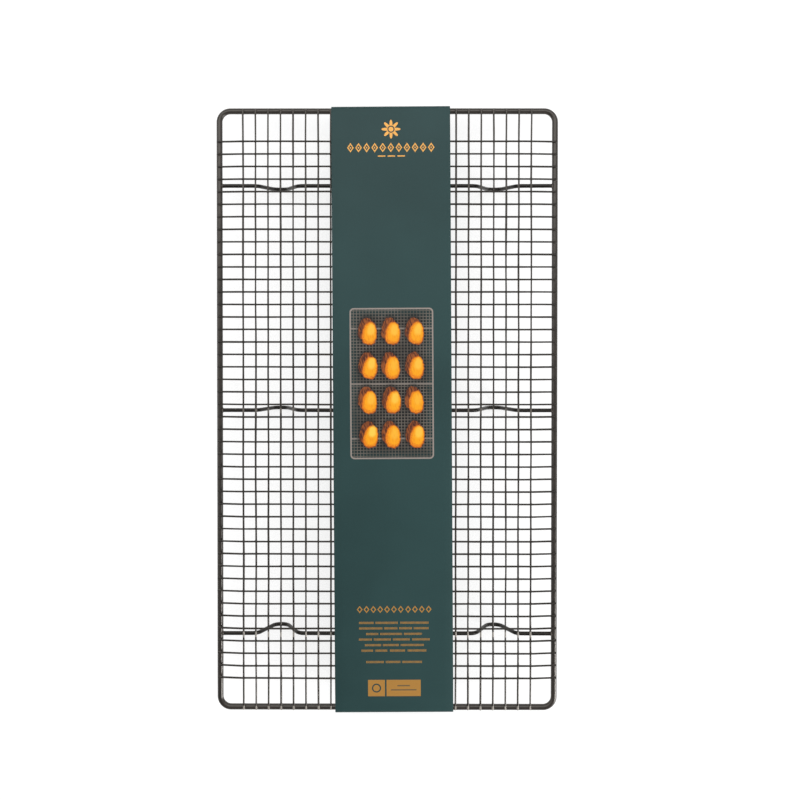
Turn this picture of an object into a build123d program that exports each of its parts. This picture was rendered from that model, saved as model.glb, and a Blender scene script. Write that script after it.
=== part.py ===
from build123d import *
import os
from math import cos, radians, sin, tan

# Wire cooling rack with a band of printed card wrapped lengthwise round it.
# Sizes are in millimetres. The rack stands on its feet at Z = 0 with its long side along Y,
# and the deck of fine wires is on top. Each wire is a hair clear of the wire that it is welded
# to. The frame wire alone is more than one solid: its runs and bends, which meet face to face.

# Overall size, over the outside of the frame wire
RACK_LENGTH = 460.0
RACK_WIDTH = 260.0

# Frame: one wire bent into a ring
FRAME_WIRE_D = 4.5
FRAME_CORNER_R = 8.3  # at the wire's centreline

# Deck wires
DECK_WIRE_D = 1.4
LONG_WIRE_COUNT = 24
LONG_WIRE_INSET = 20.6  # outermost long wire's axis, from the rack's long edge
LONG_WIRE_SETBACK = 1.2  # wire's end, inside the rack's short edge
CROSS_WIRE_COUNT = 44
CROSS_WIRE_INSET = 25.9  # outermost cross wire's axis, from the rack's short edge
CROSS_WIRE_SETBACK = 0.9  # wire's end, inside the rack's long edge
CROSS_WIRES_PER_NODE = 2
CROSS_STEP_R = 12.0  # bends where a cross wire steps down to the side bar
CROSS_STEP_LEAD = 1.5  # straight run kept past the outermost long wire, and before the side bar

# Foot rails: three wires across the rack, each dipping down to the table twice
FOOT_WIRE_D = 3.0
RAIL_NAMES = ("front", "middle", "rear")
RAIL_PITCH_IN_CROSS_WIRES = 18
FOOT_SPACING = 166.6  # between the two feet of one rail
FOOT_DROP = 21.0  # from the rail's axis down to the foot's
FOOT_LEG_GAP = 20.2  # between the two legs' axes, at half the drop
FOOT_LEG_ANGLE = 62.5  # of a leg from level, in degrees
FOOT_SHOULDER_R = 7.0
FOOT_SOLE_R = 7.2

WELD_GAP = 0.02  # between two wires that are welded together

# Card sleeve
SLEEVE_WIDTH = 90.0
CARD_T = 0.45
SLEEVE_CLEARANCE = 0.25  # from the wires that it lies on
SLEEVE_OFFSET = 4.1  # of its middle from the rack's, along X
SLEEVE_SKEW = 0.37  # degrees that it lies askew
SLEEVE_FOLD_R = 0.8  # inside of a fold
SLEEVE_CREASE_R = 20.0  # soft bend where the front comes off the outermost cross wires
SLEEVE_FLAP = 18.0  # glued overlap on the back
SLEEVE_FLAP_Y = -150.0  # middle of that overlap

# Heights, from the table up
rail_z = FOOT_WIRE_D / 2 + FOOT_DROP
bar_top_z = rail_z + FOOT_WIRE_D / 2  # rails and frame are level on top
frame_z = bar_top_z - FRAME_WIRE_D / 2
long_wire_z = bar_top_z + WELD_GAP + DECK_WIRE_D / 2
cross_wire_z = long_wire_z + DECK_WIRE_D + WELD_GAP

# Places across the rack
bar_x = (RACK_WIDTH - FRAME_WIRE_D) / 2
bar_inner_x = bar_x - FRAME_WIRE_D / 2
bar_y = (RACK_LENGTH - FRAME_WIRE_D) / 2
outer_long_wire_x = RACK_WIDTH / 2 - LONG_WIRE_INSET
outer_cross_wire_y = RACK_LENGTH / 2 - CROSS_WIRE_INSET
long_wire_pitch = 2 * outer_long_wire_x / (LONG_WIRE_COUNT - 1)
cross_wire_pitch = 2 * outer_cross_wire_y / (CROSS_WIRE_COUNT - 1)
rail_pitch = RAIL_PITCH_IN_CROSS_WIRES * cross_wire_pitch


def round_wire(path, diameter):
    """A round wire along a path."""
    section = Plane(origin=path @ 0, z_dir=path % 0) * Circle(diameter / 2)
    return sweep(section, path=path)


def frame_ring():
    """The frame: a ring of thick wire, as its four straight runs and four bends laid end to end."""
    outline = Pos(0, 0, frame_z) * RectangleRounded(2 * bar_x, 2 * bar_y, FRAME_CORNER_R).wire()
    return Compound(children=[round_wire(run, FRAME_WIRE_D) for run in outline.edges()])


def long_wire(index):
    """A fine wire along the rack, lying on the end bars and the rails."""
    x = -outer_long_wire_x + index * long_wire_pitch
    end_y = RACK_LENGTH / 2 - LONG_WIRE_SETBACK
    return round_wire(Line((x, -end_y, long_wire_z), (x, end_y, long_wire_z)), DECK_WIRE_D)


def cross_wire(index):
    """A fine wire across the rack, on top of the long ones, its ends stepped down to the side bars."""
    y = -outer_cross_wire_y + index * cross_wire_pitch
    end_x = RACK_WIDTH / 2 - CROSS_WIRE_SETBACK
    seat_x = bar_inner_x - CROSS_STEP_LEAD
    lift_x = outer_long_wire_x + CROSS_STEP_LEAD
    points = [
        (-end_x, y, long_wire_z),
        (-seat_x, y, long_wire_z),
        (-lift_x, y, cross_wire_z),
        (lift_x, y, cross_wire_z),
        (seat_x, y, long_wire_z),
        (end_x, y, long_wire_z),
    ]
    return round_wire(FilletPolyline(*points, radius=CROSS_STEP_R), DECK_WIRE_D)


def foot_rail(y):
    """A rail under the deck, between the side bars, with two feet bent into it."""
    leg_run = FOOT_DROP / tan(radians(FOOT_LEG_ANGLE))
    shoulder = (FOOT_LEG_GAP + leg_run) / 2
    sole = (FOOT_LEG_GAP - leg_run) / 2
    end_x = bar_inner_x - WELD_GAP
    outline = [(-end_x, 0)]
    for foot_x in (-FOOT_SPACING / 2, FOOT_SPACING / 2):
        outline += [
            (foot_x - shoulder, 0),
            (foot_x - sole, -FOOT_DROP),
            (foot_x + sole, -FOOT_DROP),
            (foot_x + shoulder, 0),
        ]
    outline.append((end_x, 0))
    radii = [FOOT_SHOULDER_R, FOOT_SOLE_R, FOOT_SOLE_R, FOOT_SHOULDER_R] * 2
    points = [(x, y, rail_z + drop) for x, drop in outline]
    return round_wire(FilletPolyline(*points, radius=radii), FOOT_WIRE_D)


def card_sleeve():
    """A closed band of card round the deck, glued where it overlaps on the back."""
    skew = radians(SLEEVE_SKEW)
    corner_room = SLEEVE_WIDTH / 2 * sin(skew)  # what the skew takes from the ends' clearance
    end_y = (RACK_LENGTH / 2 + SLEEVE_CLEARANCE + corner_room) / cos(skew)
    back_z = bar_top_z - FRAME_WIRE_D - SLEEVE_CLEARANCE
    end_top_z = long_wire_z + DECK_WIRE_D / 2 + SLEEVE_CLEARANCE
    front_z = cross_wire_z + DECK_WIRE_D / 2 + SLEEVE_CLEARANCE
    crease_y = outer_cross_wire_y + DECK_WIRE_D
    points = [
        (-end_y, back_z),
        (-end_y, end_top_z),
        (-crease_y, front_z),
        (crease_y, front_z),
        (end_y, end_top_z),
        (end_y, back_z),
    ]
    radii = [SLEEVE_FOLD_R, SLEEVE_FOLD_R, SLEEVE_CREASE_R, SLEEVE_CREASE_R, SLEEVE_FOLD_R, SLEEVE_FOLD_R]
    hollow = make_face(FilletPolyline(*points, radius=radii, close=True))
    loop = offset(hollow, CARD_T) - hollow
    band = extrude(Plane.YZ * loop, SLEEVE_WIDTH / 2, both=True)
    flap = Pos(0, SLEEVE_FLAP_Y, back_z - CARD_T * 3 / 2) * Box(SLEEVE_WIDTH, SLEEVE_FLAP, CARD_T)
    return Pos(SLEEVE_OFFSET, 0, 0) * Rot(0, 0, SLEEVE_SKEW) * (band + flap)


nodes = {"frame_ring": frame_ring()}

for place, name in enumerate(RAIL_NAMES):
    nodes[f"foot_rail_{name}"] = foot_rail((place - (len(RAIL_NAMES) - 1) / 2) * rail_pitch)

for index in range(LONG_WIRE_COUNT):
    nodes[f"long_wire_{index + 1:02d}"] = long_wire(index)

cross_wires = [cross_wire(index) for index in range(CROSS_WIRE_COUNT)]
for first in range(0, CROSS_WIRE_COUNT, CROSS_WIRES_PER_NODE):
    number = first // CROSS_WIRES_PER_NODE + 1
    nodes[f"cross_wires_{number:02d}"] = Compound(children=cross_wires[first : first + CROSS_WIRES_PER_NODE])

nodes["card_sleeve"] = card_sleeve()

os.makedirs("parts", exist_ok=True)
for name, shape in nodes.items():
    export_step(shape, f"parts/{name}.step")
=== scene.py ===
from math import cos, degrees, hypot, radians, sin, tan

import bmesh
import bpy
from mathutils import Matrix, Vector, noise


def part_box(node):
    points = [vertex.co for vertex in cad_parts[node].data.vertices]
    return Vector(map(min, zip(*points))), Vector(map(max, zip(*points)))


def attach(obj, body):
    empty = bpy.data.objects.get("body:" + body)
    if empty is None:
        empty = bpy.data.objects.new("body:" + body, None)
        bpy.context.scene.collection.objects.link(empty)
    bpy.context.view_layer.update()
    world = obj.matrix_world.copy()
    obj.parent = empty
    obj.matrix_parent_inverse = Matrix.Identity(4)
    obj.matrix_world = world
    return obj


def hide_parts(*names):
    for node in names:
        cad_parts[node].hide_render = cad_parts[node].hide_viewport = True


# Wire cooling rack, coated dark grey, in a band of dark green printed card.
# Everything is in metres. The rack stands on its feet at Z = 0, its long side along Y.
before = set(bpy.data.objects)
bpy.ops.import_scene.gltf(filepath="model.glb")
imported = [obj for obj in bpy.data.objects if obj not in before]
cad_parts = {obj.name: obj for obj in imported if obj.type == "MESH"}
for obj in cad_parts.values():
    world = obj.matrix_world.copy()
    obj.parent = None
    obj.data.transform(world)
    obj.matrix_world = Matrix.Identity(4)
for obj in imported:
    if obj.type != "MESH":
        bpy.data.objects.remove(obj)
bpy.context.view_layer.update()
MM = 0.001

# ---------------------------------------------------------------- sizes read from the frame
CARD_T = 0.45 * MM
WELD_GAP = 0.02 * MM
RAILS = ("foot_rail_front", "foot_rail_middle", "foot_rail_rear")
LONG_WIRES = sorted(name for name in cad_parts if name.startswith("long_wire_"))
CROSS_WIRES = sorted(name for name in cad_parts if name.startswith("cross_wires_"))

ring_low, ring_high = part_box("frame_ring")
rail_low, rail_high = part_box(RAILS[0])
long_low, long_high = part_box(LONG_WIRES[0])
cross_low, cross_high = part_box(CROSS_WIRES[0])
card_low, card_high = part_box("card_sleeve")

frame_d = ring_high.z - ring_low.z
frame_z = (ring_high.z + ring_low.z) / 2
bar_x = ring_high.x - frame_d / 2
bar_y = ring_high.y - frame_d / 2
bar_top = ring_high.z

rail_d = rail_high.y - rail_low.y
rail_z = rail_high.z - rail_d / 2
rail_y = (rail_high.y + rail_low.y) / 2
rail_end = rail_high.x
sole_z = rail_low.z + rail_d / 2

deck_d = long_high.x - long_low.x
long_x = (long_high.x + long_low.x) / 2
long_z = (long_high.z + long_low.z) / 2
long_end = long_high.y
long_pitch = -2 * long_x / (len(LONG_WIRES) - 1)

cross_y = cross_low.y + deck_d / 2
cross_z = cross_high.z - deck_d / 2
cross_end = cross_high.x
cross_count = 2 * len(CROSS_WIRES)
cross_pitch = -2 * cross_y / (cross_count - 1)


# ---------------------------------------------------------------- camera and light
def aimed(name, data, place, turn):
    """An object that holds a camera or a lamp, put in place and turned by angles in degrees."""
    holder = bpy.data.objects.new(name, data)
    holder.location = place
    holder.rotation_euler = [radians(angle) for angle in turn]
    bpy.context.scene.collection.objects.link(holder)
    return holder


# The camera looks almost straight down, and its shift moves the rack to the middle of the view
CAMERA_PLACE = (0.0073, 0.0754, 0.744)
CAMERA_TURN = (-0.712, 0.211, 0.020)
camera_data = bpy.data.cameras.new("camera")
camera_data.sensor_width = 36
camera_data.lens = 42.6
camera_data.shift_x = 0.0085
camera_data.shift_y = -0.096
camera = aimed("camera", camera_data, CAMERA_PLACE, CAMERA_TURN)
bpy.context.scene.camera = camera
bpy.context.scene.view_settings.view_transform = "Standard"


def softbox(name, place, aim, size, power):
    """A soft rectangular studio lamp, turned towards a point."""
    data = bpy.data.lights.new(name, "AREA")
    data.shape = "RECTANGLE"
    data.size, data.size_y = size
    data.energy = power
    beam = Vector(aim) - Vector(place)
    turn = [degrees(angle) for angle in beam.to_track_quat("-Z", "Y").to_euler()]
    return aimed(name, data, place, turn)


# A broad lamp over the rear, weaker ones on the left and at the front, and a small strong one at
# the front right, which draws the bright line along the side bars
softbox("overhead_softbox", (0.0, 0.48, 0.85), (0, 0, 0), (1.4, 0.62), 4.6)
softbox("left_softbox", (-0.95, 0.05, 0.75), (0, 0, 0), (0.9, 0.9), 2)
softbox("right_softbox", (0.85, -0.62, 0.45), (0, -0.15, 0), (0.24, 0.42), 7.5)
softbox("front_softbox", (0.0, -1.10, 0.75), (0, 0, 0), (1.5, 0.3), 0.6)


# ---------------------------------------------------------------- node graphs
class Amount:
    """A number that changes over a surface. Sums written with it become Math nodes."""

    def __init__(self, graph, socket):
        self.graph = graph
        self.socket = socket

    def math(self, operation, *terms):
        node = self.graph.add("ShaderNodeMath", {"operation": operation}, dict(enumerate(terms)))
        return Amount(self.graph, node.outputs[0])

    def __add__(self, other):
        return self.math("ADD", self, other)

    def __sub__(self, other):
        return self.math("SUBTRACT", self, other)

    def __rsub__(self, other):
        return self.math("SUBTRACT", other, self)

    def __mul__(self, other):
        return self.math("MULTIPLY", self, other)

    def __truediv__(self, other):
        return self.math("DIVIDE", self, other)

    def __lt__(self, other):
        return self.math("LESS_THAN", self, other)

    def __gt__(self, other):
        return self.math("GREATER_THAN", self, other)

    def __pow__(self, other):
        return self.math("POWER", self, other)

    def __abs__(self):
        return self.math("ABSOLUTE", self)

    __radd__ = __add__
    __rmul__ = __mul__

    def lesser(self, other):
        return self.math("MINIMUM", self, other)

    def greater(self, other):
        return self.math("MAXIMUM", self, other)

    def rounded(self):
        return self.math("ROUND", self)

    def cosine(self):
        return self.math("COSINE", self)

    def ramp(self, start, end, low=0.0, high=1.0):
        """Goes smoothly from low at start to high at end, and stays there."""
        settings = {"interpolation_type": "SMOOTHSTEP"}
        values = {"Value": self, "From Min": start, "From Max": end, "To Min": low, "To Max": high}
        return Amount(self.graph, self.graph.add("ShaderNodeMapRange", settings, values).outputs[0])


class Graph:
    """A node tree that is being built."""

    def __init__(self, tree):
        self.tree = tree

    def add(self, kind, settings=None, values=None):
        """Adds a node of a type, with its settings, and the values or links of its sockets."""
        node = self.tree.nodes.new(kind)
        for key, value in (settings or {}).items():
            setattr(node, key, value)
        for key, value in (values or {}).items():
            socket = self.find(node.inputs, key)
            if isinstance(value, Amount):
                value = value.socket
            if isinstance(value, bpy.types.NodeSocket):
                self.tree.links.new(value, socket)
            else:
                socket.default_value = value
        return node

    @staticmethod
    def find(sockets, key):
        """A socket by its place, its identifier or its name."""
        if isinstance(key, int):
            return sockets[key]
        for socket in sockets:
            if socket.identifier == key:
                return socket
        return sockets[key]

    def mix(self, factor, first, second):
        """Goes from the first colour to the second as the factor goes from 0 to 1."""
        values = {"Factor_Float": factor, "A_Color": first, "B_Color": second}
        node = self.add("ShaderNodeMix", {"data_type": "RGBA"}, values)
        return self.find(node.outputs, "Result_Color")

    def noise(self, vector, scale, detail=2.0, roughness=0.5, w=None):
        """Noise from 0 to 1 over a vector, or over a vector and one more number."""
        values = {"Vector": vector, "Scale": scale, "Detail": detail, "Roughness": roughness}
        if w is not None:
            values["W"] = w
        settings = {"noise_dimensions": "3D" if w is None else "4D"}
        return Amount(self, self.add("ShaderNodeTexNoise", settings, values).outputs[0])

    def split(self, vector):
        """The three parts of a vector."""
        parts = self.add("ShaderNodeSeparateXYZ", None, {0: vector}).outputs
        return [Amount(self, part) for part in parts]

    def join(self, x, y, z):
        """A vector of three parts."""
        return self.add("ShaderNodeCombineXYZ", None, {0: x, 1: y, 2: z}).outputs[0]


def ink(red, green, blue):
    """A paint or ink colour, each part from 0 to 255 as on a screen."""
    parts = [value / 255 for value in (red, green, blue)]
    return (*(p / 12.92 if p < 0.04045 else ((p + 0.055) / 1.055) ** 2.4 for p in parts), 1)


def finish_material(name, build):
    """A material: build adds nodes to its graph and gives the Principled shader's sockets."""
    made = bpy.data.materials.new(name)
    made.use_nodes = True
    made.node_tree.nodes.clear()
    graph = Graph(made.node_tree)
    shader = graph.add("ShaderNodeBsdfPrincipled", None, build(graph))
    graph.add("ShaderNodeOutputMaterial", None, {"Surface": shader.outputs[0]})
    return made


# ---------------------------------------------------------------- floor and surroundings
world = bpy.data.worlds.new("studio")
world.use_nodes = True
world.node_tree.nodes.clear()
sky = Graph(world.node_tree)
direction = sky.split(sky.add("ShaderNodeTexCoord").outputs["Generated"])
towards_rear = direction[1].ramp(-0.55, 0.45, 0.25, 0.55)
studio_light = {"Color": (1, 1, 1, 1), "Strength": towards_rear}
background = sky.add("ShaderNodeBackground", None, studio_light)
sky.add("ShaderNodeOutputWorld", None, {"Surface": background.outputs[0]})
bpy.context.scene.world = world


def plain_floor(graph):
    """A lit white table: most of its light is its own, so shadows on it stay faint."""
    return {
        "Base Color": ink(160, 160, 160),
        "Roughness": 0.9,
        "Specular IOR Level": 0.1,
        "Emission Color": (1, 1, 1, 1),
        "Emission Strength": 0.76,
    }


FLOOR_SIDE = 12.0
floor_mesh = bpy.data.meshes.new("floor")
half = FLOOR_SIDE / 2
floor_corners = [(-half, -half, 0), (half, -half, 0), (half, half, 0), (-half, half, 0)]
floor_mesh.from_pydata(floor_corners, [], [(0, 1, 2, 3)])
floor = bpy.data.objects.new("floor", floor_mesh)
floor.data.materials.append(finish_material("plain_floor", plain_floor))
bpy.context.scene.collection.objects.link(floor)


# ---------------------------------------------------------------- coated steel
PALE_FLECK = ink(112, 106, 98)
# The colour of a pale painted highlight on the long wires where they cross the bars
PAINTED_HIGHLIGHT = ink(158, 152, 144)
BARE_STEEL = ink(150, 146, 140)
RUBBED_SOLE = 0.5 * MM

# How far from a bar's middle a painted highlight on a long wire has faded out, and how far it is still
# full
HIGHLIGHT_REACH = (2.4 * MM, 1.6 * MM)


def coated_steel(base, rough, shine, worn_below=None, highlight_at=()):
    """A baked non-stick coating over steel wire: fine grain, faint mottling and pale flecks.
    Shine is its index of refraction. Worn_below is the height under which it has rubbed through.
    Highlight_at holds distances from the rack's middle, along Y, where a pale painted highlight is put
    on the wire over a bar. It is stronger towards the front, where the front lamps' highlight falls."""

    def build(graph):
        place = graph.add("ShaderNodeTexCoord").outputs["Object"]
        mottle = graph.noise(place, 90, 3)
        grain = graph.noise(place, 2600, 2)
        peel = graph.noise(place, 900, 2)
        fleck = graph.noise(place, 5200, 1).ramp(0.66, 0.76)
        dark = ink(*(part * 0.80 for part in base))
        light = ink(*(part * 1.18 for part in base))
        colour = graph.mix(mottle.ramp(0.3, 0.7), dark, light)
        colour = graph.mix(fleck * 0.30, colour, PALE_FLECK)
        roughness = rough + (grain - 0.5) * 0.16 + (mottle - 0.5) * 0.10
        metal = fleck * 0.5
        along = graph.split(place)[1]
        # Painted highlight: a pale mark on the wire over each bar, stronger towards the front
        for distance in highlight_at:
            highlight_mark = abs(abs(along) - distance).ramp(*HIGHLIGHT_REACH)
            front_highlight = highlight_mark * along.ramp(0.6 * bar_y, -bar_y, 0.06, 0.85)
            colour = graph.mix(front_highlight, colour, PAINTED_HIGHLIGHT)
        if worn_below is not None:
            height = graph.split(place)[2]
            scuffs = graph.noise(place, 700, 4, 0.7)
            worn = (height + (scuffs - 0.5) * 1.2 * MM).ramp(worn_below, worn_below * 0.4)
            colour = graph.mix(worn, colour, BARE_STEEL)
            metal = metal.greater(worn * 0.9)
            roughness = roughness + worn * 0.08
        relief = peel * 0.7 + grain * 0.3
        values = {"Height": relief, "Strength": 0.20, "Distance": 0.05 * MM}
        bump = graph.add("ShaderNodeBump", None, values)
        return {
            "Base Color": colour,
            "Roughness": roughness,
            "Metallic": metal,
            "Normal": bump.outputs[0],
            "IOR": shine,
            "Specular Tint": (1.0, 0.95, 0.89, 1.0),
        }

    return build


bars_under_deck = (bar_y, -rail_y, 0.0)
# All these wires carry one coating. Their base colours differ as painted light: the frame and the long
# wires, which the side lamps catch, are lighter than the cross wires, and the rails under the deck are
# darkest, as painted shade.
frame_finish = coated_steel(base=(33, 28, 24), rough=0.32, shine=1.68)
rail_finish = coated_steel(base=(16, 13, 11), rough=0.30, shine=1.42, worn_below=RUBBED_SOLE)
long_finish = coated_steel(base=(31, 26, 22), rough=0.30, shine=1.66, highlight_at=bars_under_deck)
cross_finish = coated_steel(base=(25, 21, 17), rough=0.34, shine=1.52)
weld_finish = coated_steel(base=(54, 48, 43), rough=0.42, shine=1.7)

frame_coating = finish_material("frame_coating", frame_finish)
rail_coating = finish_material("rail_coating", rail_finish)
long_coating = finish_material("long_wire_coating", long_finish)
cross_coating = finish_material("cross_wire_coating", cross_finish)
weld_coating = finish_material("weld_coating", weld_finish)


# ---------------------------------------------------------------- wires
def bent(corners, bends, steps):
    """Points along straight runs, with an arc at each inner corner. Bends holds the arcs' radii
    and steps is how many parts each arc has. Corners and points are pairs of numbers."""
    points = [corners[0]]
    for before, corner, after, radius in zip(corners, corners[1:], corners[2:], bends):
        a, b, c = (Vector(p) for p in (before, corner, after))
        u, v = (a - b).normalized(), (c - b).normalized()
        half_angle = u.angle(v) / 2
        reach = radius / tan(half_angle)
        middle = b + (u + v).normalized() * (radius / sin(half_angle))
        start, end = b + u * reach - middle, b + v * reach - middle
        turn = start.angle_signed(end)
        for step in range(steps + 1):
            spoke = start.copy()
            spoke.rotate(Matrix.Rotation(-turn * step / steps, 2))
            points.append(tuple(middle + spoke))
    points.append(corners[-1])
    return points


def divided(points, longest):
    """The same line in more steps, none of them over the longest by more than a thousandth."""
    made = [points[0]]
    for start, end in zip(points, points[1:]):
        count = max(1, round(hypot(end[0] - start[0], end[1] - start[1]) / longest + 0.499))
        for part in range(1, count + 1):
            made.append(tuple(s + (e - s) * part / count for s, e in zip(start, end)))
    return made


# A cut end: how far in along the wire, and how thick it is there, both in wire radii
CUT_END = ((0.0, 0.62), (0.06, 0.80), (0.20, 0.93), (0.45, 1.0))


def cut_ends(points, radius):
    """Points with a thickness each, the line's two ends drawn in like wire sheared and coated."""
    start, end = points[0], points[-1]
    ahead = (Vector(points[1]) - Vector(start)).normalized()
    behind = (Vector(points[-2]) - Vector(end)).normalized()
    first = [(tuple(Vector(start) + ahead * far * radius), thick) for far, thick in CUT_END]
    last = [(tuple(Vector(end) + behind * far * radius), thick) for far, thick in CUT_END]
    return first + [(point, 1.0) for point in points[1:-1]] + last[::-1]


def centreline(name, places, closed=False):
    """A curve for a tree to sweep: points in space with a thickness each."""
    data = bpy.data.curves.new(name, "CURVE")
    data.dimensions = "3D"
    spline = data.splines.new("POLY")
    spline.points.add(len(places) - 1)
    for point, (place, thickness) in zip(spline.points, places):
        point.co = (*place, 1)
        point.radius = thickness
    spline.use_cyclic_u = closed
    line = bpy.data.objects.new(name, data)
    bpy.context.scene.collection.objects.link(line)
    return line


def geometry_tree(name, sizes):
    """A Geometry Nodes tree that takes geometry and named sizes, and the graph to fill it."""
    tree = bpy.data.node_groups.new(name, "GeometryNodeTree")
    tree.interface.new_socket("Geometry", in_out="INPUT", socket_type="NodeSocketGeometry")
    for label, kind in sizes.items():
        tree.interface.new_socket(label, in_out="INPUT", socket_type="NodeSocket" + kind)
    tree.interface.new_socket("Geometry", in_out="OUTPUT", socket_type="NodeSocketGeometry")
    graph = Graph(tree)
    return graph, graph.add("NodeGroupInput").outputs


def end_tree(graph, geometry, coating):
    """The end of every tree: real geometry, smooth, with its material."""
    real = graph.add("GeometryNodeRealizeInstances", None, {"Geometry": geometry})
    smooth = graph.add("GeometryNodeSetShadeSmooth", None, {"Geometry": real.outputs[0]})
    coated = graph.add(
        "GeometryNodeSetMaterial", None, {"Geometry": smooth.outputs[0], "Material": coating}
    )
    graph.add("NodeGroupOutput", None, {"Geometry": coated.outputs[0]})
    return graph.tree


def wire_row_tree():
    """Sweeps a round wire along a centreline and repeats it in a row.
    Each wire wanders a little, in its own way, as drawn wire does."""
    graph, given = geometry_tree(
        "wire_row",
        {
            "Diameter": "Float",
            "Sides": "Int",
            "Count": "Int",
            "Step": "Vector",
            "Wander": "Vector",
            "Wander Scale": "Vector",
            "Seed": "Float",
            "Coating": "Material",
        },
    )
    radius = Amount(graph, given["Diameter"]) * 0.5
    section = graph.add("GeometryNodeCurvePrimitiveCircle", None, {0: given["Sides"], "Radius": radius})
    thickness = graph.add("GeometryNodeInputRadius")
    wire = graph.add(
        "GeometryNodeCurveToMesh",
        None,
        {
            "Curve": given["Geometry"],
            "Profile Curve": section.outputs[0],
            "Scale": thickness.outputs[0],
            "Fill Caps": True,
        },
    )
    row = graph.add(
        "GeometryNodeMeshLine", {"mode": "OFFSET"}, {"Count": given["Count"], "Offset": given["Step"]}
    )
    wires = graph.add(
        "GeometryNodeInstanceOnPoints", None, {"Points": row.outputs[0], "Instance": wire.outputs[0]}
    )
    real = graph.add("GeometryNodeRealizeInstances", None, {"Geometry": wires.outputs[0]})
    place = graph.add("GeometryNodeInputPosition").outputs[0]
    stretched = graph.add(
        "ShaderNodeVectorMath", {"operation": "MULTIPLY"}, {0: place, 1: given["Wander Scale"]}
    )
    drift = graph.noise(stretched.outputs[0], 1.0, 2.0, 0.5, given["Seed"]) - 0.5
    moved = graph.add(
        "ShaderNodeVectorMath", {"operation": "SCALE"}, {0: given["Wander"], "Scale": drift}
    )
    wandering = graph.add(
        "GeometryNodeSetPosition", None, {"Geometry": real.outputs[0], "Offset": moved.outputs[0]}
    )
    return end_tree(graph, wandering.outputs[0], given["Coating"])


def weld_grid_tree():
    """Puts a nugget of weld at each point of a grid, each turned and sized a little differently."""
    graph, given = geometry_tree(
        "weld_grid",
        {
            "Columns": "Int",
            "Rows": "Int",
            "Middle": "Vector",
            "Width": "Float",
            "Length": "Float",
            "Nugget": "Vector",
            "Size Spread": "Float",
            "Gap Middle": "Float",
            "Gap Reach": "Float",
            "Seed": "Int",
            "Coating": "Material",
        },
    )
    grid = graph.add(
        "GeometryNodeMeshGrid",
        None,
        {
            "Size X": given["Width"],
            "Size Y": given["Length"],
            "Vertices X": given["Columns"],
            "Vertices Y": given["Rows"],
        },
    )
    placed = graph.add(
        "GeometryNodeTransform", None, {"Geometry": grid.outputs[0], "Translation": given["Middle"]}
    )
    nugget = graph.add("GeometryNodeMeshUVSphere", None, {"Segments": 8, "Rings": 5, "Radius": 1.0})
    spread = Amount(graph, given["Size Spread"])
    size = graph.add(
        "FunctionNodeRandomValue",
        {"data_type": "FLOAT"},
        {"Min_001": 1 - spread, "Max_001": 1 + spread, "Seed": given["Seed"]},
    )
    scale = graph.add(
        "ShaderNodeVectorMath",
        {"operation": "SCALE"},
        {0: given["Nugget"], "Scale": graph.find(size.outputs, "Value_001")},
    )
    x, _, _ = graph.split(graph.add("GeometryNodeInputPosition").outputs[0])
    welded = abs(abs(x) - Amount(graph, given["Gap Middle"])) > Amount(graph, given["Gap Reach"])
    nuggets = graph.add(
        "GeometryNodeInstanceOnPoints",
        None,
        {
            "Points": placed.outputs[0],
            "Selection": welded,
            "Instance": nugget.outputs[0],
            "Scale": scale.outputs[0],
        },
    )
    return end_tree(graph, nuggets.outputs[0], given["Coating"])


def grown(name, base, tree, sizes):
    """The plain mesh that a tree grows from a base object, as a new piece of the rack."""
    modifier = base.modifiers.new(tree.name, "NODES")
    modifier.node_group = tree
    for item in tree.interface.items_tree:
        if item.in_out == "INPUT" and item.name in sizes:
            modifier[item.identifier] = sizes[item.name]
    evaluated = base.evaluated_get(bpy.context.evaluated_depsgraph_get())
    mesh = bpy.data.meshes.new_from_object(evaluated)
    bpy.data.objects.remove(base)
    mesh.name = name
    piece = bpy.data.objects.new(name, mesh)
    bpy.context.scene.collection.objects.link(piece)
    return piece


wire_row = wire_row_tree()
weld_grid = weld_grid_tree()

# A gap that reaches less than nothing leaves no weld out
NO_GAP = (0.0, -1.0)


def wires(name, places, coating, slot, nodes, closed=False, **sizes):
    """Grows a row of wires, which stands for its nodes of the frame."""
    sizes = {label.replace("_", " ").title(): value for label, value in sizes.items()}
    sizes["Coating"] = coating
    piece = grown(name, centreline(name, places, closed), wire_row, sizes)
    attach(piece, "rack")
    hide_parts(*nodes)


def welds(name, columns, rows, middle, width, length, nugget, seed, gap=NO_GAP):
    """Grows a grid of weld nuggets, whose three radii are nugget. None are in a gap on either side
    of the rack's middle, given as how far out its own middle is and how far it reaches."""
    sizes = {
        "Columns": columns,
        "Rows": rows,
        "Middle": middle,
        "Width": width,
        "Length": length,
        "Nugget": nugget,
        "Size Spread": 0.14,
        "Gap Middle": gap[0],
        "Gap Reach": gap[1],
        "Seed": seed,
        "Coating": weld_coating,
    }
    base = bpy.data.objects.new(name, bpy.data.meshes.new(name))
    bpy.context.scene.collection.objects.link(base)
    piece = grown(name, base, weld_grid, sizes)
    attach(piece, "rack")


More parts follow.
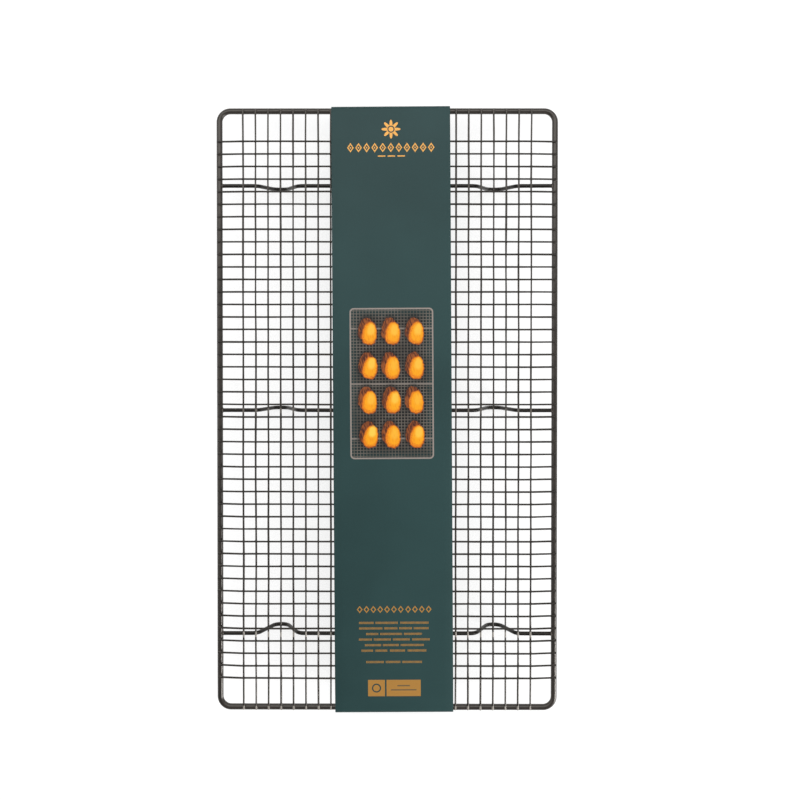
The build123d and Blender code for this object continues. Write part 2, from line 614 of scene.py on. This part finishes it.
# Frame: a closed ring that starts at its seam weld, in the middle of the rear end bar. The seam
# is given as millimetres from its middle and thickness. The wander keeps inside the frame's box.
CORNER_R = 8.3 * MM
SEAM = ((-1.4, 1.0), (-0.8, 1.018), (-0.3, 1.035), (0.3, 1.035), (0.8, 1.018), (1.4, 1.0))
WANDER_ROOM = 0.10 * MM
ring_x, ring_y = bar_x - WANDER_ROOM, bar_y - WANDER_ROOM
corners = [
    (0, ring_y),
    (-ring_x, ring_y),
    (-ring_x, -ring_y),
    (ring_x, -ring_y),
    (ring_x, ring_y),
    (0, ring_y),
]
ring = divided(bent(corners, [CORNER_R] * 4, steps=14), longest=6 * MM)[1:-1]
seam = [((-far * MM, ring_y, frame_z), thickness) for far, thickness in SEAM]
wires(
    "frame_wire",
    seam[3:] + [((x, y, frame_z), 1.0) for x, y in ring] + seam[:3],
    frame_coating,
    "frame_coating",
    ["frame_ring"],
    closed=True,
    diameter=frame_d,
    sides=28,
    count=1,
    step=(0, 0, 0),
    wander=(WANDER_ROOM, WANDER_ROOM, 0),
    wander_scale=(20, 20, 20),
    seed=3.0,
)

# Foot rails: each is one wire with two feet bent down into it
FOOT_SPACING = 166.6 * MM
FOOT_LEG_GAP = 20.2 * MM
FOOT_LEG_ANGLE = radians(62.5)
SHOULDER_R = 7.0 * MM
SOLE_R = 7.2 * MM
leg_run = (rail_z - sole_z) / tan(FOOT_LEG_ANGLE)
shoulder = (FOOT_LEG_GAP + leg_run) / 2
sole = (FOOT_LEG_GAP - leg_run) / 2
outline = [(-rail_end, rail_z)]
for foot_x in (-FOOT_SPACING / 2, FOOT_SPACING / 2):
    outline += [
        (foot_x - shoulder, rail_z),
        (foot_x - sole, sole_z),
        (foot_x + sole, sole_z),
        (foot_x + shoulder, rail_z),
    ]
outline.append((rail_end, rail_z))
foot_bends = [SHOULDER_R, SOLE_R, SOLE_R, SHOULDER_R] * 2
rail_path = divided(bent(outline, foot_bends, steps=10), longest=6 * MM)
rail_line = cut_ends(rail_path, rail_d / 2)
wires(
    "foot_rails",
    [((x, rail_y, z), thickness) for (x, z), thickness in rail_line],
    rail_coating,
    "frame_coating",
    RAILS,
    diameter=rail_d,
    sides=20,
    count=len(RAILS),
    step=(0, -rail_y, 0),
    wander=(0, 0.5 * MM, 0),
    wander_scale=(16, 5, 0),
    seed=11.0,
)

# Deck wires along the rack
long_path = divided([(-long_end, long_z), (long_end, long_z)], longest=9 * MM)
long_line = cut_ends(long_path, deck_d / 2)
wires(
    "long_deck_wires",
    [((long_x, y, z), thickness) for (y, z), thickness in long_line],
    long_coating,
    "wire_coating",
    LONG_WIRES,
    diameter=deck_d,
    sides=12,
    count=len(LONG_WIRES),
    step=(long_pitch, 0, 0),
    wander=(1.5 * MM, 0, 0),
    wander_scale=(210, 14, 0),
    seed=5.0,
)

# Deck wires across the rack, their ends stepped down to the side bars
STEP_R = 12.0 * MM
STEP_LEAD = 1.5 * MM
seat = bar_x - frame_d / 2 - STEP_LEAD
raised = -long_x + STEP_LEAD
corners = [
    (-cross_end, long_z),
    (-seat, long_z),
    (-raised, cross_z),
    (raised, cross_z),
    (seat, long_z),
    (cross_end, long_z),
]
cross_path = divided(bent(corners, [STEP_R] * 4, steps=4), longest=8 * MM)
cross_line = cut_ends(cross_path, deck_d / 2)
wires(
    "cross_deck_wires",
    [((x, cross_y, z), thickness) for (x, z), thickness in cross_line],
    cross_coating,
    "wire_coating",
    CROSS_WIRES,
    diameter=deck_d,
    sides=12,
    count=cross_count,
    step=(0, cross_pitch, 0),
    wander=(0, 0.9 * MM, 0),
    wander_scale=(16, 210, 0),
    seed=9.0,
)

# Welds, where two wires touch
deck_contact = (long_z + cross_z) / 2
bar_contact = bar_top + WELD_GAP / 2
deck_width = -2 * long_x
deck_length = -2 * cross_y
rails_apart = -2 * rail_y
long_count = len(LONG_WIRES)
welds(
    "deck_welds",
    columns=long_count,
    rows=cross_count,
    middle=(0, 0, deck_contact),
    width=deck_width,
    length=deck_length,
    nugget=(1.02 * MM, 1.02 * MM, 0.42 * MM),
    seed=1,
)
welds(
    "end_bar_welds",
    columns=long_count,
    rows=2,
    middle=(0, 0, bar_contact),
    width=deck_width,
    length=2 * bar_y,
    nugget=(1.05 * MM, 1.7 * MM, 0.40 * MM),
    seed=2,
)
welds(
    "side_bar_welds",
    columns=2,
    rows=cross_count,
    middle=(0, 0, bar_contact),
    width=2 * bar_x,
    length=deck_length,
    nugget=(1.7 * MM, 1.05 * MM, 0.40 * MM),
    seed=3,
)
welds(
    "rail_welds",
    columns=long_count,
    rows=len(RAILS),
    middle=(0, 0, bar_contact),
    width=deck_width,
    length=rails_apart,
    nugget=(1.05 * MM, 1.35 * MM, 0.40 * MM),
    seed=4,
    gap=(FOOT_SPACING / 2, shoulder - 3 * MM),
)
welds(
    "rail_end_welds",
    columns=2,
    rows=len(RAILS),
    middle=(0, 0, rail_z),
    width=2 * rail_end,
    length=rails_apart,
    nugget=(0.9 * MM, 2.0 * MM, 1.75 * MM),
    seed=5,
)


# ---------------------------------------------------------------- card sleeve
SKEW = radians(0.37)
FOLD_R = 2.6 * MM
BACK_FOLD_R = 1.8 * MM
CREASE_R = 20.0 * MM
CLEARANCE = 0.25 * MM

# On the back a flap passes under the glued end, with a small jog just before it
FLAP = 18.0 * MM
FLAP_Y = -150.0 * MM
JOG = 5.0 * MM
JOG_OUT = 0.4 * MM
JOG_R = 4.0 * MM
GLUED_END_IN = 0.3 * MM

# The front dips by up to this between the wires
SAG = 0.16 * MM

# The band stands askew in its box, so its own half width and half length come from the box's
card_middle = (card_low + card_high) / 2
across, along = (card_high.x - card_low.x) / 2, (card_high.y - card_low.y) / 2
spread = cos(SKEW) ** 2 - sin(SKEW) ** 2
card_half_width = (across * cos(SKEW) - along * sin(SKEW)) / spread
card_half_length = (along * cos(SKEW) - across * sin(SKEW)) / spread

# The line of the card's middle layer, in the plane of Y and Z: from the glued end along the back
# to the rear fold, over the deck to the front fold, and under the glued end as the flap
mid_end = card_half_length - CARD_T / 2
mid_back = card_low.z + 1.5 * CARD_T
mid_front = card_high.z - CARD_T / 2
mid_top = long_high.z + CLEARANCE + CARD_T / 2
crease_y = -cross_y + deck_d
mid_fold = FOLD_R + CARD_T / 2
mid_back_fold = BACK_FOLD_R + CARD_T / 2
flap_start = FLAP_Y - FLAP / 2
flap_end = FLAP_Y + FLAP / 2
path = [
    (flap_start + GLUED_END_IN, mid_back),
    (mid_end, mid_back),
    (mid_end, mid_top),
    (crease_y, mid_front),
    (-crease_y, mid_front),
    (-mid_end, mid_top),
    (-mid_end, mid_back),
    (flap_start - JOG, mid_back),
    (flap_start - JOG_OUT, mid_back - CARD_T * 1.04),
    (flap_end, mid_back - CARD_T),
]
radii = [mid_back_fold, mid_fold, CREASE_R, CREASE_R, mid_fold, mid_back_fold, JOG_R, JOG_R]
card_line = divided(bent(path, radii, steps=7), longest=5 * MM)

# A rounded cut edge: how far out and how far up, both in half thicknesses of the card
EDGE = ((0.0, 1.0), (0.5, 0.87), (0.87, 0.5), (1.0, 0.0))
ACROSS_STEPS = 12


def card_section():
    """The card's section, once round: how far across and through each point is, and whether the
    run that starts there is printed."""
    half = CARD_T / 2
    reach = card_half_width - half
    steps = [2 * reach * step / ACROSS_STEPS for step in range(ACROSS_STEPS)]
    face = [(-reach + far, half, True) for far in steps]
    right = [(reach + half * out, half * up, True) for out, up in EDGE]
    right += [(reach + half * out, -half * up, False) for out, up in EDGE[-2::-1]]
    back = [(reach - far, -half, False) for far in steps[1:]]
    left = [(-reach - half * out, -half * up, False) for out, up in EDGE]
    left += [(-reach - half * out, half * up, True) for out, up in EDGE[-2:0:-1]]
    return face + right + back + left


def sag(x, y):
    """How far the loose front of the card dips between the wires."""
    dip = noise.noise(Vector((x * 9, y * 14, 4.0))) * 0.5 + 0.5
    return -SAG * dip


def card_sleeve(printed, board):
    """The band of card: its section carried along the line, the printed face outwards."""
    section = card_section()
    stations = []
    walked = 0.0
    for index, (y, z) in enumerate(card_line):
        before = Vector(card_line[max(index - 1, 0)])
        after = Vector(card_line[min(index + 1, len(card_line) - 1)])
        heading = (after - before).normalized()
        if index:
            walked += (Vector((y, z)) - Vector(card_line[index - 1])).length
        stations.append((y, z, Vector((heading.y, -heading.x)), walked))
    front = [walk for y, z, _, walk in stations if z > mid_front - 0.01 * MM]
    zero = (front[0] + front[-1]) / 2
    turn = Matrix.Rotation(SKEW, 3, "Z")
    mesh = bmesh.new()
    uv = mesh.loops.layers.uv.new("card_mm")
    rings = []
    for y, z, outward, walk in stations:
        ring = []
        for x, level, _ in section:
            lift = sag(x, y) if z > mid_top else 0.0
            point = Vector((x, y + outward.x * level, z + outward.y * level + lift))
            ring.append(mesh.verts.new(turn @ point + Vector((card_middle.x, card_middle.y, 0))))
        rings.append(ring)
    count = len(section)
    for place, (ring, following) in enumerate(zip(rings, rings[1:])):
        for k in range(count):
            n = (k + 1) % count
            face = mesh.faces.new((ring[k], following[k], following[n], ring[n]))
            face.smooth = True
            face.material_index = 0 if section[k][2] else 1
            around = ((k, place), (k, place + 1), (n, place + 1), (n, place))
            for loop, (which, at) in zip(face.loops, around):
                loop[uv].uv = (section[which][0] / MM, (zero - stations[at][3]) / MM)
    for ring in (rings[0][::-1], rings[-1]):
        cap = mesh.faces.new(ring)
        cap.material_index = 1
    bmesh.ops.recalc_face_normals(mesh, faces=mesh.faces)
    data = bpy.data.meshes.new("card_sleeve_band")
    mesh.to_mesh(data)
    mesh.free()
    data.materials.append(printed)
    data.materials.append(board)
    piece = bpy.data.objects.new("card_sleeve_band", data)
    bpy.context.scene.collection.objects.link(piece)
    return piece


def plain_board(graph):
    """The card's unprinted side and its cut edges: grey fibres and flecks."""
    place = graph.add("ShaderNodeTexCoord").outputs["Object"]
    fibre = graph.noise(place, 1500, 4, 0.65)
    fleck = graph.noise(place, 2400, 2).ramp(0.64, 0.72)
    colour = graph.mix(fibre, ink(168, 162, 150), ink(196, 191, 180))
    colour = graph.mix(fleck * 0.5, colour, ink(120, 112, 98))
    bump = graph.add("ShaderNodeBump", None, {"Height": fibre, "Strength": 0.4, "Distance": 0.05 * MM})
    return {
        "Base Color": colour,
        "Roughness": 0.88 + (fibre - 0.5) * 0.1,
        "Normal": bump.outputs[0],
        "Specular IOR Level": 0.25,
    }


# ---------------------------------------------------------------- print on the card
# The layout is in millimetres from the middle of the card's front: u to the right and v towards
# the rear. A place is a pair of them, (u, v).
GOLD = ink(211, 155, 80)
GREEN_INK = (ink(31, 60, 60), ink(37, 67, 67))
CARD_U = card_half_width / MM
CARD_V = card_half_length / MM

ROSETTE = (0.2, 213.1)
PETALS = 8
PETAL_REACH = 5.2
PETAL_CUT = 2.0
EYE_R = 2.3
EYE_LINE = 0.9

BORDER_V = 199.2
BORDER_MARKS = 11
BORDER_PITCH = 6.1
SHORT_BARS = ((-7.0, 192.8), (0.4, 192.8), (7.8, 192.8))

# Two runs of lozenges: where each starts, and how many it has
RUNS = ((-28.4, 7), (8.4, 4))
RUN_V = -151.0
RUN_PITCH = 5.2

# Rows of bars, broken as words are: the row's v, its length, and where its breaks are
ROW_U = 0.2
ROWS = (
    (-161.2, 53, (-14.5, 4.0)),
    (-165.4, 53, (-8.0, 3.5, 14.5)),
    (-169.7, 42.5, (-11.0, 7.0)),
    (-173.9, 54, (-16.0, -1.5, 13.0)),
    (-178.2, 45, (-9.0, 4.5)),
    (-182.4, 49.5, (-15.0, -4.0, 9.5)),
    (-191.1, 42.5, (-7.0, 5.5)),
)

# Badge: a small plate with a ring on it, and a long plate with two bars
STUD_PLATE = (-13.4, -211.15)
LONG_PLATE = (7.25, -211.15)
PLATE_DEPTH = 12.8
STUD_R = 3.0

# Picture: its middle and size, the struts of the rack in it, and the spacing of its cakes
PICTURE = (-0.35, 20.8)
PICTURE_WIDE = 63.4
PICTURE_LONG = 114.6
STRUTS = ((62.5, 1.3), (20.5, 1.5), (-21.0, 1.3))
CAKES = (0.1, 20.8)
CAKE_PITCH = (17.8, 26.1)


def panel(place, middle, width, length):
    """1 inside a rectangle, 0 outside."""
    inside_u = abs(place[0] - middle[0]) < width / 2
    inside_v = abs(place[1] - middle[1]) < length / 2
    return inside_u * inside_v


def beyond_rounded(place, middle, width, length, radius):
    """Distance outside a rectangle with rounded corners, below 0 inside."""
    a = (abs(place[0] - middle[0]) - (width / 2 - radius)).greater(0)
    b = (abs(place[1] - middle[1]) - (length / 2 - radius)).greater(0)
    return (a * a + b * b) ** 0.5 - radius


def any_of(masks):
    """The greatest of several masks."""
    total = masks[0]
    for mask in masks[1:]:
        total = total.greater(mask)
    return total


def rosette(place):
    """A flower of eight petals with a ring left bare in it."""
    u, v = place[0] - ROSETTE[0], place[1] - ROSETTE[1]
    reach = (u * u + v * v) ** 0.5
    angle = v.math("ARCTAN2", v, u)
    petals = (reach - PETAL_REACH - (angle * PETALS).cosine() * PETAL_CUT) < 0
    return petals * (abs(reach - EYE_R) > EYE_LINE / 2)


def lozenge_border(place):
    """A row of outlined lozenges, each with a dot in it."""
    u, v = place
    from_mark = u - (u / BORDER_PITCH).rounded() * BORDER_PITCH
    in_row = abs(u) < BORDER_PITCH * BORDER_MARKS / 2
    reach = abs(from_mark) / 2.5 + abs(v - BORDER_V) / 3.6
    return [(abs(reach - 0.80) < 0.20) * in_row, (reach < 0.24) * in_row]


def lozenge_runs(place):
    """Two runs of outlined lozenges with a gap between them."""
    u, v = place
    marks = []
    for start, count in RUNS:
        for number in range(count):
            middle = start + RUN_PITCH / 2 + number * RUN_PITCH
            reach = abs(u - middle) / 2.2 + abs(v - RUN_V) / 2.8
            marks.append(abs(reach - 0.78) < 0.22)
    return marks


def striped_rows(place):
    """Rows of bars made of fine upright stripes."""
    u, _ = place
    rows = []
    for row_v, length, breaks in ROWS:
        row = panel(place, (ROW_U, row_v), length, 1.7)
        for middle in breaks:
            row = row * (abs(u - middle) > 0.75)
        rows.append(row)
    stripes = abs(u / 0.9 - (u / 0.9).rounded()) < 0.28
    return any_of(rows) * stripes


def badge(place):
    """Two plain plates: a ring is left bare on the first, and two faint bars on the second."""
    stud_plate = panel(place, STUD_PLATE, 12.85, PLATE_DEPTH)
    long_plate = panel(place, LONG_PLATE, 26.0, PLATE_DEPTH)
    u, v = place[0] - STUD_PLATE[0], place[1] - STUD_PLATE[1]
    stud = abs((u * u + v * v) ** 0.5 - STUD_R) < 0.5
    upper_bar = panel(place, (LONG_PLATE[0], -209.3), 9.5, 1.0)
    lower_bar = panel(place, (LONG_PLATE[0], -212.6), 19.5, 1.0)
    bare = stud.greater(upper_bar.greater(lower_bar) * 0.75)
    return stud_plate.greater(long_plate) * (1 - bare)


def gold_foil(place):
    """Where the card is printed with foil."""
    short_bars = [panel(place, middle, 5.6, 0.9) for middle in SHORT_BARS]
    marks = [rosette(place), *lozenge_border(place), *short_bars, *lozenge_runs(place)]
    return any_of([*marks, striped_rows(place), badge(place)])


def fine_lines(along, pitch, width):
    """Evenly spaced lines with soft sides."""
    steps = along / pitch
    return (abs(steps - steps.rounded()) * pitch).ramp(width * 0.52, width * 0.20)


def printed_rack(graph, flat, place, depth):
    """The picture's ground: a fine mesh of wires over green that darkens towards the middle.
    Depth is the distance in from the picture's nearest side."""
    u, v = place
    across = fine_lines(u - PICTURE[0], 2.4, 0.86)
    mesh_lines = across.greater(fine_lines(v - PICTURE[1], 2.3, 0.86))
    struts = any_of([panel(place, (PICTURE[0], at), PICTURE_WIDE, wide) for at, wide in STRUTS])
    shade = depth.ramp(1.0, 10.0) * (0.70 + 0.50 * graph.noise(flat, 0.07, 2)).lesser(1)
    ground = graph.mix(shade, ink(24, 50, 50), ink(14, 12, 11))
    tarnish = graph.noise(flat, 0.05, 2).ramp(0.35, 0.65)
    wire_ink = graph.mix(tarnish, ink(90, 83, 76), ink(118, 110, 102))
    colour = graph.mix(mesh_lines * 0.78, ground, wire_ink)
    return graph.mix(struts * 0.7, colour, ink(140, 130, 122))


def printed_cakes(graph, flat, place, depth, colour):
    """Three columns and four rows of small egg-shaped cakes, drawn over a colour. Each has a
    ribbed brown back, a lit front, and a lean and a glow of its own."""
    column = ((place[0] - CAKES[0]) / CAKE_PITCH[0]).rounded().greater(-1).lesser(1)
    nearest_row = ((place[1] - CAKES[1]) / CAKE_PITCH[1] + 0.5).rounded() - 0.5
    row = nearest_row.greater(-1.5).lesser(1.5)
    cell = graph.join(column, row, 0)
    chance = graph.add("ShaderNodeTexWhiteNoise", {"noise_dimensions": "2D"}, {"Vector": cell})
    luck = Amount(graph, chance.outputs["Value"])
    cake_u = place[0] - CAKES[0] - column * CAKE_PITCH[0] - (luck - 0.5) * 1.2
    cake_v = place[1] - CAKES[1] - row * CAKE_PITCH[1]
    ragged = (graph.noise(flat, 0.42, 3) - 0.5) * 0.30

    def shell(shift_u, shift_v, half_width, half_length):
        """Reach from the middle of a leaning, ragged, rounded shape: 1 on its outline."""
        a, b = cake_u - shift_u, cake_v - shift_v
        lean = 0.12 + (luck - 0.5) * 0.20
        p = a - b * lean
        q = b + a * lean
        taper = 1 - q / half_length * 0.14
        powers = abs(p / (half_width * taper)) ** 2.4 + abs(q / half_length) ** 2.4
        return powers ** 0.42 + ragged

    crumb = graph.noise(flat, 1.1, 4, 0.6)
    ribs = graph.noise(graph.join(cake_u * 1.5 + cake_v * 0.3, cake_v * 0.22, luck * 9), 1.0, 2)
    back = shell(-2.0, 2.2, 5.7, 8.7)
    body = shell(0.7, -1.0, 5.7, 8.9)
    face = shell(1.3, -0.4, 4.8, 7.9) + (ribs - 0.5) * 0.35
    glow = shell(1.9, 0.8 + luck * 2.0, 3.6, 5.6)

    soft_dark = depth.ramp(1.3, 4.0) * back.ramp(1.45, 1.0)
    colour = graph.mix(soft_dark * 0.6, colour, ink(16, 13, 12))
    browned = graph.mix(ribs.ramp(0.40, 0.60), ink(70, 30, 20), ink(150, 80, 34))
    colour = graph.mix(back < 1.0, colour, browned)
    crust = graph.mix(crumb.ramp(0.3, 0.7), ink(222, 108, 8), ink(246, 150, 16))
    lit_face = face.ramp(1.0, 0.78) * (0.5 + 0.5 * ribs.ramp(0.3, 0.6))
    lit_top = glow.ramp(1.0, 0.45) * (0.25 + 0.75 * luck)
    cake = graph.mix(body.ramp(1.0, 0.84), ink(160, 74, 16), crust)
    cake = graph.mix(lit_face, cake, ink(254, 170, 14))
    cake = graph.mix(lit_top, cake, ink(255, 208, 78))
    return graph.mix(body < 1.0, colour, cake)


def printed_card(graph):
    """The card's printed side: green ink and gold foil with a picture, worn where the card is
    folded and along its cut edges."""
    flat = graph.add("ShaderNodeUVMap", {"uv_map": "card_mm"}).outputs[0]
    place_3d = graph.add("ShaderNodeTexCoord").outputs["Object"]
    u, v, _ = graph.split(flat)
    place = (u, v)
    foil = gold_foil(place)

    edge = beyond_rounded(place, PICTURE, PICTURE_WIDE, PICTURE_LONG, radius=3.2)
    picture = edge < 0
    rim = picture * (edge > -1.1)
    depth_u = PICTURE_WIDE / 2 - abs(u - PICTURE[0])
    depth = depth_u.lesser(PICTURE_LONG / 2 - abs(v - PICTURE[1]))
    drawn = printed_rack(graph, flat, place, depth)
    drawn = printed_cakes(graph, flat, place, depth, drawn)
    drawn = graph.mix(rim, drawn, ink(152, 141, 134))

    fibre = graph.noise(place_3d, 1800, 4, 0.6)
    cloud = graph.noise(place_3d, 12, 3)
    tone = graph.mix(cloud.ramp(0.3, 0.7), *GREEN_INK)
    tone = graph.mix(fibre.ramp(0.45, 0.8) * 0.18, tone, ink(56, 90, 89))
    colour = graph.mix(picture, tone, drawn)
    colour = graph.mix(foil, colour, GOLD)
    scuff = graph.noise(place_3d, 420, 5, 0.7)
    side = abs(u).ramp(CARD_U - 0.9, CARD_U - 0.1)
    fold = abs(abs(v) - CARD_V + 0.9).ramp(2.2, 0.3)
    worn = side.greater(fold * 0.6) * scuff.ramp(0.54, 0.72) * 0.36
    colour = graph.mix(worn, colour, ink(128, 134, 128))
    relief = fibre * 0.4 + (1 - foil) * 0.25 + cloud * 0.2
    values = {"Height": relief, "Strength": 0.25, "Distance": 0.04 * MM}
    bump = graph.add("ShaderNodeBump", None, values)
    return {
        "Base Color": colour,
        "Roughness": 0.52 + (fibre - 0.5) * 0.12 - foil * 0.16 + worn * 0.2,
        "Metallic": foil * 0.55,
        "Normal": bump.outputs[0],
        "Specular IOR Level": 0.33,
    }


printed_side = finish_material("printed_card", printed_card)
board_side = finish_material("plain_board", plain_board)
sleeve = card_sleeve(printed_side, board_side)
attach(sleeve, "sleeve")
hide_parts("card_sleeve")
